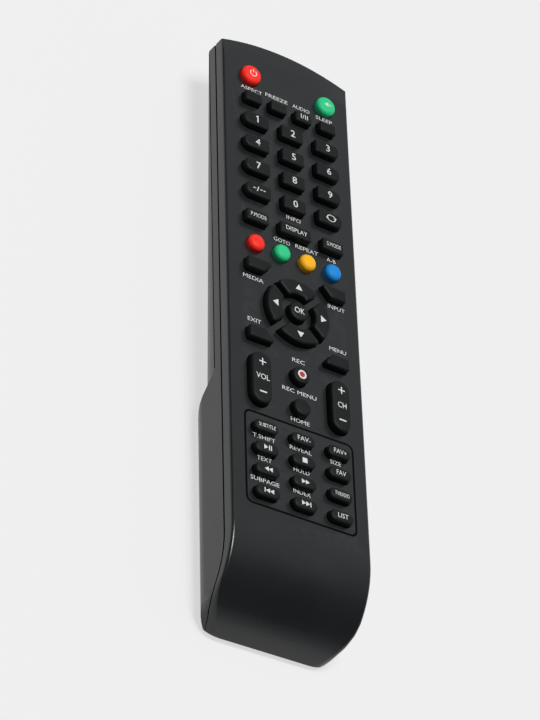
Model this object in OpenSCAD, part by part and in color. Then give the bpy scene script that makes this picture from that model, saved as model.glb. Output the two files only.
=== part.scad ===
// Handheld universal remote control with fifty rubber keys and two AAA cells.
// Millimetres. X runs across the face, Y towards the infrared end, Z out of the face.
// The origin is under the middle of the case, on the plane that it rests on.

/* [Case] */
// Width of the case
body_width = 49; // [46:0.5:54]
// Length of the case, without the emitter
body_length = 212; // [206:1:220]
// Height of the face above the resting plane
body_height = 22.8; // [22:0.2:24.6]
// Wall of the two shells
wall = 1.8; // [1.4:0.1:2.2]
// Radius of the curved infrared end, seen from above
front_radius = 80; // [60:1:120]
// Width of the sloping strip along the infrared end
front_strip = 8; // [4:0.5:10]
// Drop of the sloping strip at its outer edge
front_drop = 0.5; // [0.2:0.1:1]
// Rounding of the edge around the face
edge_radius = 1; // [0.4:0.1:1.2]
// Depth of the joint between the shells below the face
joint_depth = 4; // [3.6:0.1:4.3]
// Width of the dark line along the joint
joint_gap = 0.7; // [0.3:0.1:0.8]

/* [Tail and back] */
// Radius of the bend where the face turns down
tail_radius = 28; // [25:0.5:29]
// Angle of the tail at its lower edge
tail_angle = 72; // [66:1:73]
// Corner radius of the tail, seen from above
tail_corner = 11; // [6:0.5:12]
// Run of the chamfer under the lower edge of the tail
tail_chamfer = 2.5; // [2:0.1:3.5]
// Radius of the rounded edges under the battery hump
hump_radius = 8; // [5:0.5:8]
// Length of the ramp in front of the hump
ramp_length = 20; // [18:1:22]
// Distance from the tail to the foot of the ramp
ramp_from_tail = 82; // [81.5:0.5:87]
// Height of the side walls below the face, ahead of the hump
side_height = 8; // [7.5:0.5:9]
// Depth of the curved back below the side walls, at the infrared end
back_depth = 2.1; // [1.5:0.1:3]
// Further depth of the curved back for each millimetre of length
back_slope = 0.055; // [0.04:0.005:0.06]
// Width of the curve on each side of the back
back_curve = 6; // [5:0.5:10]

/* [Keys] */
// Height of the keys above the face
key_rise = 2.7; // [2.4:0.1:3.2]
// Height of the oval keys above the face
oval_rise = 2.4; // [2:0.1:3]
// Height of the coloured keys above the face
colour_rise = 2.6; // [2:0.1:3]
// Gap between a key and its opening
key_gap = 0.25; // [0.2:0.05:0.3]
// Travel of a key
key_travel = 1; // [0.6:0.1:1]
// Rounding of the top edges of the keys
key_crown = 0.8; // [0.5:0.1:1]
// Rounding of the top edges of the coloured keys
colour_crown = 1.5; // [0.8:0.1:1.8]
// Corner radius of the rectangular keys
key_corner = 0.9; // [0.5:0.1:1]

/* [Upper key rows] */
// Distance of the power key from the infrared end
power_from_front = 16.2; // [16:0.1:17.5]
// Diameter of the power key and the mute key
power_diameter = 7.1; // [6.5:0.1:7.6]
// Distance of the row of four small keys from the infrared end
small_from_front = 26; // [25.5:0.1:26.5]
// Size of the four small keys
small_size = [6.4, 4.2]; // [4:0.1:7]
// Distance between the columns in the rows of four keys
four_pitch = 9.6; // [9.3:0.1:9.8]
// Distance of the first digit row from the infrared end
digit_from_front = 35.1; // [34.8:0.1:35.5]
// Distance between the digit rows
digit_pitch = 9.5; // [9.3:0.1:9.6]
// Size of the middle digit keys
digit_size = [8.6, 5.2]; // [4.8:0.1:9]
// Width of the outer digit keys
digit_outer_width = 9.4; // [9:0.1:9.6]
// Radius of the outer ends of the outer digit keys
digit_end_radius = 2.4; // [1.5:0.1:2.4]
// Distance of the row of three mode keys from the infrared end
mode_from_front = 74.2; // [73.8:0.1:74.6]
// Size of the outer mode keys
mode_size = [8.3, 4.5]; // [4:0.1:8.6]
// Width of the middle mode key
mode_middle_width = 11.8; // [11:0.1:12]
// Distance of the row of coloured keys from the infrared end
colour_from_front = 83.8; // [83.4:0.1:84.2]
// Diameter of the coloured keys
colour_diameter = 5.8; // [5.5:0.1:6.4]

/* [Direction keys] */
// Distance of the middle of the direction keys from the infrared end
pad_from_front = 104.9; // [104.5:0.1:105.3]
// Outer radius of the ring of direction keys
pad_radius = 11.6; // [11:0.1:11.8]
// Inner radius of the ring of direction keys
pad_inner_radius = 6.2; // [6:0.1:6.5]
// Gap between two direction keys
pad_split = 2.4; // [2.2:0.1:3]
// Diameter of the key in the middle of the ring
ok_diameter = 6.8; // [6:0.1:7]
// Size of the four keys around the ring
around_size = [8.8, 4.5]; // [4:0.1:9]
// Cut corner of the four keys around the ring
around_cut = [2.8, 3.2]; // [2:0.1:3.5]
// Distance of the upper two of them from the middle of the ring
around_upper = 12.3; // [12:0.1:12.6]
// Distance of the lower two of them from the middle of the ring
around_lower = 13.5; // [13.2:0.1:13.8]

/* [Lower keys] */
// Distance of the rockers from the infrared end
rocker_from_front = 134.5; // [134:0.1:135]
// Size of the volume and channel rockers
rocker_size = [7, 18.2]; // [6.5:0.1:18.6]
// Distance of the record key from the infrared end
record_from_front = 128.5; // [128:0.1:129]
// Distance of the home key from the infrared end
home_from_front = 140; // [139.6:0.1:140.4]
// Diameter of the record key and the home key
record_diameter = 6; // [5.5:0.1:6.2]
// Distance of the middle of the framed field from the infrared end
field_from_front = 162; // [161.6:0.1:162.4]
// Size of the groove that frames the field
field_size = [38.8, 31.7]; // [31:0.1:39.2]
// Width of the groove
groove_width = 0.7; // [0.5:0.1:1]
// Depth of the groove
groove_depth = 0.4; // [0.2:0.1:0.6]
// Distance of the first row of oval keys from the infrared end
oval_from_front = 151.5; // [151.2:0.1:151.8]
// Distance between the oval keys across and along the face
oval_pitch = [13.1, 7.47]; // [7.3:0.01:13.4]
// Size of the oval keys
oval_size = [8.4, 3.9]; // [3.6:0.1:8.6]

/* [Battery bay] */
// Diameter of an AAA cell
cell_diameter = 10.5; // [10:0.1:10.5]
// Length of an AAA cell
cell_length = 44.5; // [43.5:0.1:44.5]
// Distance between the two cells
cell_pitch = 11.2; // [11.1:0.1:11.6]
// Width of the battery cover
cover_width = 28; // [27:0.5:29]
// Thickness of the battery cover
cover_thickness = 1.5; // [1.3:0.1:1.6]
// Distance from the tail to the front end of the battery cover
cover_from_tail = 62.5; // [60:0.5:62.5]

/* [Emitter] */
// Diameter of the infrared emitter
emitter_diameter = 5; // [4.8:0.1:5.2]

/* [Hidden] */
$fn = 64;

case_black = "#35353a";
key_black = "#1b1b1d";
key_red = "#e5281e";
key_green = "#14a050";
key_yellow = "#f0a018";
key_blue = "#196ecd";
mat_grey = "#242426";
board_green = "#2f6b3c";
chip_black = "#141414";
emitter_blue = "#6f7fa8";
nickel = "#c9c9c4";
cell_grey = "#5d6470";

front_y = body_length / 2;
tail_y = -body_length / 2;
half_width = body_width / 2;
face_z = body_height;
joint_z = face_z - joint_depth;
inner_z = face_z - wall;
crease_z = face_z - side_height;
beyond = 200;

// The bend starts where the sloping tail, drawn back from its tip, meets it.
// The lower edge of the tail stays over the end of the battery cover.
cover_gap = 0.2;
tail_edge_z = cover_thickness + cover_gap + 0.1;
// The bend ends above the tail's lower edge, also on the inside of the wall.
bend_end_z = tail_edge_z + 0.3;
tail_turn = min(tail_angle, acos((bend_end_z - face_z + tail_radius) / (tail_radius - wall)));
bend_drop = tail_radius * (1 - cos(tail_turn));
// The rounded corners of the tail reach behind its lower edge by this length.
corner_overlap = edge_radius + 0.3;
bend_y = tail_y + tail_radius * sin(tail_turn) + (face_z - tail_edge_z - bend_drop) / tan(tail_turn);

// The joint comes nearer to the face along the bend and then runs beside it.
joint_radius = tail_radius - 3.5;
joint_bend_y = bend_y - 2.6;

ramp_foot_y = tail_y + ramp_from_tail;

// Heights of the parts in the case, from the board up.
board_thickness = 1.2;
board_z = face_z - 5.8;
board_top = board_z + board_thickness;
mat_thickness = 1;
key_bottom = board_top + key_travel + 0.1;
collar_top = inner_z - 0.2;
collar_thickness = 0.9;
collar_grow = 0.4;
plunger_grow = -0.3;
mat_grow = 0.7;
tongue_thickness = 0.85;
tongue_gap = 0.15;
tongue_height = 1.2;
tongue_x = half_width - wall - tongue_gap - tongue_thickness;
board_gap = 0.7;
board_width = 2 * (tongue_x - board_gap);
board_front_y = front_y - 10;
board_back_y = bend_y + 5;

// Shape of a rocker under the face: it needs room to tilt.
rocker_gap = 0.45;
rocker_collar_grow = 0.3;
rocker_collar_z = key_bottom + 0.4;
rocker_collar_thickness = 0.4;

// Rows on the face: their distances are given for one length of the flat face and spread with it.
given_flat_length = 184.83;
row_spread = (front_y - bend_y) / given_flat_length;
function row_at(from_front) = front_y - from_front * row_spread;
power_y = row_at(power_from_front);
small_y = row_at(small_from_front);
mode_y = row_at(mode_from_front);
colour_y = row_at(colour_from_front);
pad_y = row_at(pad_from_front);
rocker_y = row_at(rocker_from_front);
field_y = row_at(field_from_front);

// Columns on the face, from its sides.
column_margin = 6.1;
round_margin = 9.9;
rocker_margin = 10.1;
outer_column = half_width - column_margin;
digit_outer_x = outer_column - digit_outer_width / 2;
mode_outer_x = outer_column - mode_size[0] / 2;
around_x = outer_column - around_size[0] / 2;
round_x = half_width - round_margin;
rocker_x = half_width - rocker_margin;

// Layers of a rounded top edge: angle on the edge's quarter circle.
edge_steps = [0, 30, 60, 90];

function unit(v) = v / norm(v);

// Outward normal of the edge from a to b of an outline that runs anticlockwise.
function normal(a, b) = let (u = unit(b - a)) [u[1], -u[0]];

// Corner b of an outline, moved out by a distance.
function moved_corner(a, b, c, out) =
    let (m = normal(a, b), n = normal(b, c))
    b + out * (m + n) / (1 + m * n);

// Arc in place of corner b, with its centre inside the outline.
function corner_arc(a, b, c, r, steps) =
    let (
        m = normal(a, b),
        n = normal(b, c),
        turn = acos(min(1, m * n)),
        start = atan2(m[1], m[0]),
        middle = moved_corner(a, b, c, -r)
    )
    [for (i = [0:steps]) let (w = start + turn * i / steps) middle + r * [cos(w), sin(w)]];

// Outline with corners pts and corner radii, grown on all sides.
function outline(pts, radii, grow) =
    let (
        n = len(pts),
        g = [for (i = [0:n - 1]) moved_corner(pts[(i + n - 1) % n], pts[i], pts[(i + 1) % n], grow)]
    )
    [
        for (i = [0:n - 1])
            let (r = max(radii[i] + grow, 0.1), steps = radii[i] > 1.5 ? 6 : 3)
            each corner_arc(g[(i + n - 1) % n], g[i], g[(i + 1) % n], r, steps)
    ];

// Outline with two half-round ends, along its longer side, grown on all sides.
function oval_outline(middle, size, grow) =
    let (
        r = min(size) / 2 + grow,
        run = (max(size) - min(size)) / 2,
        ahead = size[0] > size[1] ? [1, 0] : [0, 1],
        beside = [-ahead[1], ahead[0]],
        steps = 12
    )
    [
        for (end = [1, -1], i = [0:steps])
            let (w = -90 + 180 * i / steps)
            middle + end * (run * ahead + r * (cos(w) * ahead + sin(w) * beside))
    ];

function box_points(x, y, size) = [
    [x - size[0] / 2, y - size[1] / 2],
    [x + size[0] / 2, y - size[1] / 2],
    [x + size[0] / 2, y + size[1] / 2],
    [x - size[0] / 2, y + size[1] / 2]
];

// Rectangle with its lower right corner cut off, around the origin.
function cut_box_points(size, cut) = [
    [-size[0] / 2, -size[1] / 2],
    [size[0] / 2 - cut[0], -size[1] / 2],
    [size[0] / 2, -size[1] / 2 + cut[1]],
    [size[0] / 2, size[1] / 2],
    [-size[0] / 2, size[1] / 2]
];

// Mirrored and moved outline, still anticlockwise.
function placed(pts, sx, sy, x, y) =
    let (q = [for (p = pts) [x + sx * p[0], y + sy * p[1]]])
    sx * sy > 0 ? q : [for (i = [len(q) - 1:-1:0]) q[i]];

function even_radii(r, n) = [for (i = [1:n]) r];

// Direction key between two diagonal gaps, as an outline around the middle of the ring.
function sector_points(grow) =
    let (
        outer = pad_radius + grow,
        inner = pad_inner_radius - grow,
        half_split = pad_split / 2 - grow,
        outer_half = 45 - asin(half_split / outer),
        inner_half = 45 - asin(half_split / inner),
        steps = 16
    )
    [
        for (i = [0:steps])
            let (w = -outer_half + 2 * outer_half * i / steps) outer * [cos(w), sin(w)],
        for (i = [0:steps])
            let (w = inner_half - 2 * inner_half * i / steps) inner * [cos(w), sin(w)]
    ];

// Each round key: name, place, diameter, colour.
round_keys = [
    ["power_key", [-round_x, power_y], power_diameter, key_red],
    ["mute_key", [round_x, power_y], power_diameter, key_green],
    ["red_key", [-1.5 * four_pitch, colour_y], colour_diameter, key_red],
    ["green_key", [-0.5 * four_pitch, colour_y], colour_diameter, key_green],
    ["yellow_key", [0.5 * four_pitch, colour_y], colour_diameter, key_yellow],
    ["blue_key", [1.5 * four_pitch, colour_y], colour_diameter, key_blue],
    ["ok_key", [0, pad_y], ok_diameter, key_black],
    ["record_key", [0, row_at(record_from_front)], record_diameter, key_black],
    ["home_key", [0, row_at(home_from_front)], record_diameter, key_black]
];

small_names = ["aspect_key", "freeze_key", "audio_key", "sleep_key"];
small_keys = [
    for (i = [0:3])
        let (pts = box_points((i - 1.5) * four_pitch, small_y, small_size))
        [small_names[i], pts, even_radii(key_corner, 4)]
];

digit_names = [
    "digit_1_key", "digit_2_key", "digit_3_key", "digit_4_key", "digit_5_key", "digit_6_key",
    "digit_7_key", "digit_8_key", "digit_9_key", "dash_key", "digit_0_key", "recall_key"
];
digit_keys = [
    for (i = [0:11])
        let (
            side = i % 3 - 1,
            y = row_at(digit_from_front) - floor(i / 3) * digit_pitch,
            width = side == 0 ? digit_size[0] : digit_outer_width,
            left = side < 0 ? digit_end_radius : key_corner,
            right = side > 0 ? digit_end_radius : key_corner,
            pts = box_points(side * digit_outer_x, y, [width, digit_size[1]])
        )
        [digit_names[i], pts, [left, right, right, left]]
];

mode_names = ["picture_mode_key", "display_key", "sound_mode_key"];
mode_keys = [
    for (side = [-1:1])
        let (
            width = side == 0 ? mode_middle_width : mode_size[0],
            pts = box_points(side * mode_outer_x, mode_y, [width, mode_size[1]])
        )
        [mode_names[side + 1], pts, even_radii(key_corner, 4)]
];

// Keys at the four corners of the ring: name, side across, side along.
around_places = [["media_key", -1, 1], ["input_key", 1, 1], ["exit_key", -1, -1], ["menu_key", 1, -1]];
around_keys = [
    for (k = around_places)
        let (
            y = pad_y + (k[2] > 0 ? around_upper : -around_lower),
            pts = placed(cut_box_points(around_size, around_cut), -k[1], k[2], k[1] * around_x, y)
        )
        [k[0], pts, even_radii(key_corner, 5)]
];

oval_names = [
    "subtitle_key", "fav_minus_key", "fav_plus_key", "play_pause_key", "stop_key", "fav_key",
    "rewind_key", "forward_key", "tv_radio_key", "previous_key", "next_key", "list_key"
];
// Each oval key: name, place.
oval_keys = [
    for (i = [0:11])
        let (
            x = (i % 3 - 1) * oval_pitch[0],
            y = row_at(oval_from_front) - floor(i / 3) * oval_pitch[1]
        )
        [oval_names[i], [x, y]]
];

// Each key with straight sides: name, corners, corner radii.
flat_keys = concat(small_keys, digit_keys, mode_keys, around_keys);

// Each direction key: name, direction.
arrow_keys = [["right_key", 0], ["up_key", 90], ["left_key", 180], ["down_key", 270]];

// Each rocker: name, place.
rocker_keys = [["volume_rocker", [-rocker_x, rocker_y]], ["channel_rocker", [rocker_x, rocker_y]]];

// Extrudes a side view, drawn as Y and Z, across the case.
module across(width) {
    rotate([90, 0, 90]) linear_extrude(width, center = true) children();
}

// Extrudes a front view, drawn as X and Z, along the case.
module along() {
    rotate([90, 0, 0]) linear_extrude(2 * beyond, center = true) children();
}

// Side view of the case: flat face, bend, sloping tail and chamfer, moved in by a distance.
module side_view(inset) {
    r = tail_radius - inset;
    middle = [bend_y, face_z - tail_radius];
    steps = 16;
    bend = [for (i = [0:steps]) let (w = 90 + tail_turn * i / steps) middle + r * [cos(w), sin(w)]];
    bend_end = bend[steps];
    run = (bend_end[1] - tail_edge_z) / sin(tail_turn);
    tip = bend_end - run * [cos(tail_turn), sin(tail_turn)];
    polygon(concat([[beyond, 0], [beyond, face_z - inset]], bend, [tip, [tip[0] + tail_chamfer, 0]]));
}

// Curved infrared end, seen from above, moved in by a distance.
function front_arc(inset) =
    let (
        r = front_radius - inset,
        w = asin((half_width - inset) / r),
        middle = [0, front_y - front_radius],
        steps = 16
    )
    [for (i = [0:steps]) let (v = 90 - w + 2 * w * i / steps) middle + r * [cos(v), sin(v)]];

// Seen from above: curved infrared end and straight sides, moved in by a distance.
module top_view(inset) {
    x = half_width - inset;
    polygon(concat(front_arc(inset), [[-x, -beyond], [x, -beyond]]));
}

// The same view with the tail's rounded corners.
module rounded_view(inset) {
    r = tail_corner - inset;
    x = half_width - tail_corner;
    y = tail_y + tail_corner - corner_overlap;
    steps = 6;
    left = [for (i = [0:steps]) let (v = 180 + 90 * i / steps) [-x, y] + r * [cos(v), sin(v)]];
    right = [for (i = [steps:-1:0]) [-left[i][0], left[i][1]]];
    polygon(concat(front_arc(inset), left, right));
}

// Solid corners that keep the lower shell's wall behind the tail's rounded corners.
module tail_corners() {
    leg = 0.75 * tail_corner;
    for (side = [0, 1])
        mirror([side, 0, 0])
            translate([0, 0, -1])
                linear_extrude(2 * face_z)
                    polygon([
                        [half_width + 1, tail_y + leg + 1],
                        [half_width - leg - 1, tail_y - 1],
                        [half_width + 1, tail_y - 1]
                    ]);
}

// Seen from the end: straight sides and rounded edges under the hump, moved in by a distance.
module end_view(inset) {
    x = half_width - hump_radius;
    r = hump_radius - inset;
    steps = 8;
    right = [for (i = [0:steps]) let (w = -90 + 90 * i / steps) [x, hump_radius] + r * [cos(w), sin(w)]];
    left = [for (i = [steps:-1:0]) [-right[i][0], right[i][1]]];
    polygon(concat(right, [[half_width - inset, 2 * face_z], [inset - half_width, 2 * face_z]], left));
}

// Outer form of the case, as deep as the hump over its whole length.
module outer_form() {
    hull()
        for (w = edge_steps)
            intersection() {
                across(2 * body_width) side_view(edge_radius * (1 - cos(w)));
                linear_extrude(2 * face_z) rounded_view(edge_radius * (1 - sin(w)));
                along() end_view(edge_radius * (1 - sin(w)));
            }
}

// The same form without rounded edges, moved in by a distance.
module inner_form(inset) {
    intersection() {
        across(2 * body_width) side_view(inset);
        linear_extrude(2 * face_z) top_view(inset);
        along() end_view(inset);
    }
}

// Space over the joint between the shells, as a side view, lowered by a distance.
module over_joint(lower) {
    middle = [joint_bend_y, joint_z - joint_radius - lower];
    steps = 12;
    bend = [
        for (i = [0:steps])
            let (w = 90 + tail_turn * i / steps) middle + joint_radius * [cos(w), sin(w)]
    ];
    foot = bend[steps] - beyond * [cos(tail_turn), sin(tail_turn)];
    polygon(concat([[beyond, joint_z - lower]], bend, [foot, [foot[0], beyond], [beyond, beyond]]));
}

// Space behind the ramp, as a side view: the ramp rises from the hump to the side walls.
module behind_ramp(inset) {
    ramp = [
        for (i = [0:8])
            let (u = i / 8)
            [ramp_foot_y - ramp_length + ramp_length * u - inset, crease_z * u * u]
    ];
    polygon(concat(
        [[-beyond, -1], [ramp[0][0], -1]],
        ramp,
        [[ramp_foot_y - inset, 2 * face_z], [-beyond, 2 * face_z]]
    ));
}

// Depth of the curved back below the side walls, at a place along the case.
function back_depth_at(y) = back_depth + (front_y - y) * back_slope;

// Top view of the case ahead of the hump: it ends inside the hump, below the middle of the ramp.
module front_view(inset) {
    intersection() {
        top_view(inset);
        translate([-beyond, ramp_foot_y - ramp_length / 2]) square(2 * beyond);
    }
}

// Curved back ahead of the hump, moved in by a distance.
module front_form(inset) {
    hull() {
        translate([0, 0, crease_z]) linear_extrude(joint_z - crease_z + 1) front_view(inset);
        for (w = [18, 36, 54, 72, 90]) {
            tilt = sin(w) * back_slope;
            low = crease_z - sin(w) * (back_depth_at(0) - inset);
            multmatrix([[1, 0, 0, 0], [0, 1, 0, 0], [0, tilt, 1, low], [0, 0, 0, 1]])
                linear_extrude(0.01) front_view(inset + back_curve * (1 - cos(w)));
        }
    }
}

// All key openings as one flat shape, each grown by a distance.
module key_shapes(grow, rocker_grow) {
    for (k = round_keys) translate(k[1]) circle(k[2] / 2 + grow);
    for (k = flat_keys) polygon(outline(k[1], k[2], grow));
    for (k = oval_keys) polygon(oval_outline(k[1], oval_size, grow));
    for (k = arrow_keys) translate([0, pad_y]) rotate(k[1]) polygon(sector_points(grow));
    for (k = rocker_keys) polygon(oval_outline(k[1], rocker_size, rocker_grow));
}

// Bore for the emitter, through the joint at the infrared end.
emitter_z = board_z + board_thickness / 2;
emitter_length = 8.6;
emitter_gap = 0.2;
module emitter_bore() {
    translate([0, front_y - 6, emitter_z])
        rotate([-90, 0, 0]) cylinder(d = emitter_diameter + 2 * emitter_gap, h = 8);
}

// Path of the battery cover on its way out at the tail.
rail_width = 1;
rail_z = 0.7;
cover_front_y = tail_y + cover_from_tail;
module cover_path() {
    opening = cover_width + 2 * cover_gap;
    slot = opening + 2 * rail_width;
    translate([-opening / 2, -beyond, -1])
        cube([opening, beyond + cover_front_y + cover_gap, cover_thickness + cover_gap + 1]);
    translate([-slot / 2, -beyond, rail_z - cover_gap])
        cube([slot, beyond + cover_front_y + cover_gap, cover_thickness - rail_z + 2 * cover_gap]);
}

module field_groove() {
    inner_field = field_size - [groove_width, groove_width];
    outer_field = field_size + [groove_width, groove_width];
    translate([0, 0, face_z - groove_depth])
        linear_extrude(1)
            difference() {
                polygon(outline(box_points(0, field_y, outer_field), even_radii(2.3, 4), 0));
                polygon(outline(box_points(0, field_y, inner_field), even_radii(1.7, 4), 0));
            }
}

// Wedge that takes the face down towards the infrared end.
module front_slope() {
    inner_r = front_radius - front_strip;
    outer_r = front_radius + 2;
    drop = front_drop * (front_strip + 2) / front_strip;
    translate([0, front_y - front_radius, 0])
        rotate_extrude(angle = 180)
            polygon([
                [inner_r, face_z],
                [outer_r, face_z - drop],
                [outer_r, face_z + 1],
                [inner_r, face_z + 1]
            ]);
}

// Fine groove along each side ahead of the hump, where the side wall meets the curved back.
side_groove = [0.35, 0.5];
module side_grooves() {
    start = ramp_foot_y + 1;
    for (side = [0, 1])
        mirror([side, 0, 0])
            translate([half_width - side_groove[0], start, crease_z - side_groove[1] / 2])
                cube([1, front_y - 5 - start, side_groove[1]]);
}

module top_case() {
    color(case_black)
        difference() {
            outer_form();
            across(2 * body_width)
                difference() {
                    square(4 * beyond, center = true);
                    over_joint(0);
                }
            inner_form(wall);
            translate([0, 0, inner_z - 1]) linear_extrude(wall + 2) key_shapes(key_gap, rocker_gap);
            field_groove();
            front_slope();
            emitter_bore();
            cover_path();
        }
}

// Battery bay: a tray that hangs in the hump and opens to the back.
bay_wall = 1.2;
bay_gap = 0.4;
bay_width = cell_pitch + cell_diameter + 2 * bay_gap;
bay_length = cell_length + 6.2;
bay_top = cover_thickness + cover_gap + cell_diameter + bay_gap;
bay_lip = 4;
bay_back_y = cover_front_y + bay_lip - bay_length;
bay_middle_y = bay_back_y + bay_length / 2;
tray_foot = cover_thickness + cover_gap + bay_wall;
tray_foot_width = cover_width + 2 * (rail_width + cover_gap + bay_wall);
module tray_block() {
    block = [bay_width + 2 * bay_wall, bay_length + 2 * bay_wall];
    translate([-block[0] / 2, bay_middle_y - block[1] / 2, 0])
        cube([block[0], block[1], bay_top + bay_wall]);
    translate([-tray_foot_width / 2, tail_y, 0])
        cube([tray_foot_width, cover_from_tail + bay_wall + cover_gap, tray_foot]);
}

module bay() {
    floor_z = cover_thickness + cover_gap;
    translate([-bay_width / 2, bay_back_y, floor_z]) cube([bay_width, bay_length, bay_top - floor_z]);
}

// Posts that carry the board ahead of the bay.
post_diameter = 4;
post_x = 14;
post_from_front = 24;
post_from_ramp = 24.5;
post_rows = 3;
module posts() {
    first = front_y - post_from_front;
    step = (first - ramp_foot_y - post_from_ramp) / (post_rows - 1);
    for (i = [0:post_rows - 1], side = [-1, 1])
        let (y = first - i * step, low = crease_z - back_depth_at(y) + wall / 2)
        translate([side * post_x, y, low]) cylinder(d = post_diameter, h = board_z - low);
}

// Ribs on the tray that carry the board over the bay.
module tray_ribs() {
    for (side = [-1, 1])
        translate([side * bay_width / 3 - bay_wall / 2, bay_back_y + 5, bay_top])
            cube([bay_wall, bay_length - 10, board_z - bay_top]);
}

// Tongue along the joint, inside the upper shell's wall.
module tongues() {
    length = board_front_y - board_back_y - 10;
    for (side = [0, 1])
        mirror([side, 0, 0]) {
            translate([tongue_x, board_back_y, joint_z - 3])
                cube([tongue_thickness, length, tongue_height + 3]);
            translate([tongue_x, board_back_y, joint_z - 3])
                cube([tongue_thickness + tongue_gap + wall / 2, length, 2]);
        }
}

// Roof of the lower shell under the tail, as a side view.
module under_tail() {
    intersection() {
        over_joint(wall);
        translate([board_back_y - 1 - beyond, 0]) square(beyond);
    }
}

module bottom_case() {
    color(case_black) {
        difference() {
            union() {
                front_form(0);
                intersection() {
                    outer_form();
                    across(2 * body_width) behind_ramp(0);
                }
            }
            across(2 * body_width) over_joint(0);
            difference() {
                across(2 * body_width) over_joint(joint_gap);
                linear_extrude(2 * face_z) rounded_view(0.6 * joint_gap);
            }
            difference() {
                union() {
                    front_form(wall);
                    intersection() {
                        inner_form(wall);
                        across(2 * body_width) behind_ramp(wall);
                        translate([0, 0, beyond + wall]) cube(2 * beyond, center = true);
                        across(2 * body_width)
                            difference() {
                                square(2 * beyond, center = true);
                                under_tail();
                            }
                    }
                }
                tray_block();
                tail_corners();
            }
            bay();
            cover_path();
            emitter_bore();
            side_grooves();
        }
        posts();
        tray_ribs();
        tongues();
    }
}

// Battery cover: it slides out at the tail on two rails.
ridge_width = 0.8;
ridge_depth = 0.4;
ridge_pitch = 2;
module battery_cover() {
    plate = cover_from_tail;
    ridges = cover_width * 0.55;
    color(case_black)
        difference() {
            intersection() {
                union() {
                    translate([-cover_width / 2, cover_front_y - plate, 0])
                        cube([cover_width, plate, cover_thickness]);
                    translate([-cover_width / 2 - rail_width, cover_front_y - plate, rail_z])
                        cube([cover_width + 2 * rail_width, plate, cover_thickness - rail_z]);
                }
                across(2 * body_width) side_view(0);
            }
            for (i = [0:5])
                translate([-ridges / 2, cover_front_y - 6 - i * ridge_pitch, -1])
                    cube([ridges, ridge_width, ridge_depth + 1]);
            translate([0, cover_front_y - 26, -1])
                linear_extrude(ridge_depth + 1) polygon([[0, -3.5], [3.5, 2.5], [-3.5, 2.5]]);
        }
}

module board_shape(margin) {
    length = board_front_y - board_back_y;
    size = [board_width - 2 * margin, length - 2 * margin];
    polygon(outline(box_points(0, board_back_y + length / 2, size), even_radii(2, 4), 0));
}

module keypad_mat() {
    color(mat_grey)
        translate([0, 0, board_top])
            linear_extrude(mat_thickness)
                difference() {
                    board_shape(1);
                    key_shapes(mat_grow, mat_grow);
                }
}

module circuit_board() {
    color(board_green) translate([0, 0, board_z]) linear_extrude(board_thickness) board_shape(0);
}

// Parts under the board: moulded chip, resonator, capacitor, transistor and resistors.
chip_size = [14, 8, 0.9];
chip_corner = 2;
chip_y = pad_y + 16;
resonator_size = [6, 2.6, 3.2];
resonator_place = [-9, chip_y + 17];
capacitor_diameter = 5;
capacitor_length = 9;
capacitor_drop = 0.4;
capacitor_place = [1, chip_y + 22];
capacitor_lead = [1, 0.6];
transistor_diameter = 4.6;
transistor_flat = 1.2;
transistor_height = 3;
transistor_y = chip_y + 36;
resistor_size = [2, 1.2, 0.6];
resistor_pitch = 4;
resistor_y = chip_y - 12;
module board_components() {
    color(chip_black) {
        translate([0, chip_y, board_z - chip_size[2]])
            linear_extrude(chip_size[2])
                polygon(outline(box_points(0, 0, chip_size), even_radii(chip_corner, 4), 0));
        translate([resonator_place[0], resonator_place[1], board_z - resonator_size[2]])
            cube(resonator_size);
        translate([capacitor_place[0], capacitor_place[1], board_z - capacitor_diameter / 2 - capacitor_drop])
            rotate([0, 90, 0]) cylinder(d = capacitor_diameter, h = capacitor_length);
        translate([capacitor_place[0] + 1, capacitor_place[1], board_z - capacitor_drop])
            cube([capacitor_lead[0], capacitor_lead[1], 2 * capacitor_drop], center = true);
        translate([0, transistor_y, board_z - transistor_height])
            linear_extrude(transistor_height)
                intersection() {
                    circle(d = transistor_diameter);
                    translate([-transistor_diameter, -transistor_flat]) square(2 * transistor_diameter);
                }
        for (i = [-1:1])
            translate([i * resistor_pitch - resistor_size[0] / 2, resistor_y, board_z - resistor_size[2]])
                cube(resistor_size);
    }
}

// Emitter in the end of the case, with its two leads on the faces of the board.
lead = 0.5;
lead_spacing = 2.54;
module ir_emitter() {
    r = emitter_diameter / 2;
    dome = [for (i = [0:6]) let (w = 15 * i) [r * cos(w), emitter_length - r + r * sin(w)]];
    back = front_y - emitter_length - 0.2;
    color(emitter_blue) {
        translate([0, back, emitter_z])
            rotate([-90, 0, 0])
                rotate_extrude() polygon(concat([[0, 0], [r + 0.4, 0], [r + 0.4, 1], [r, 1]], dome));
        for (side = [-1, 1])
            translate([-lead / 2, back - 1.8, emitter_z + side * lead_spacing / 2 - lead / 2])
                cube([lead, 2.3, lead]);
    }
}

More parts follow.
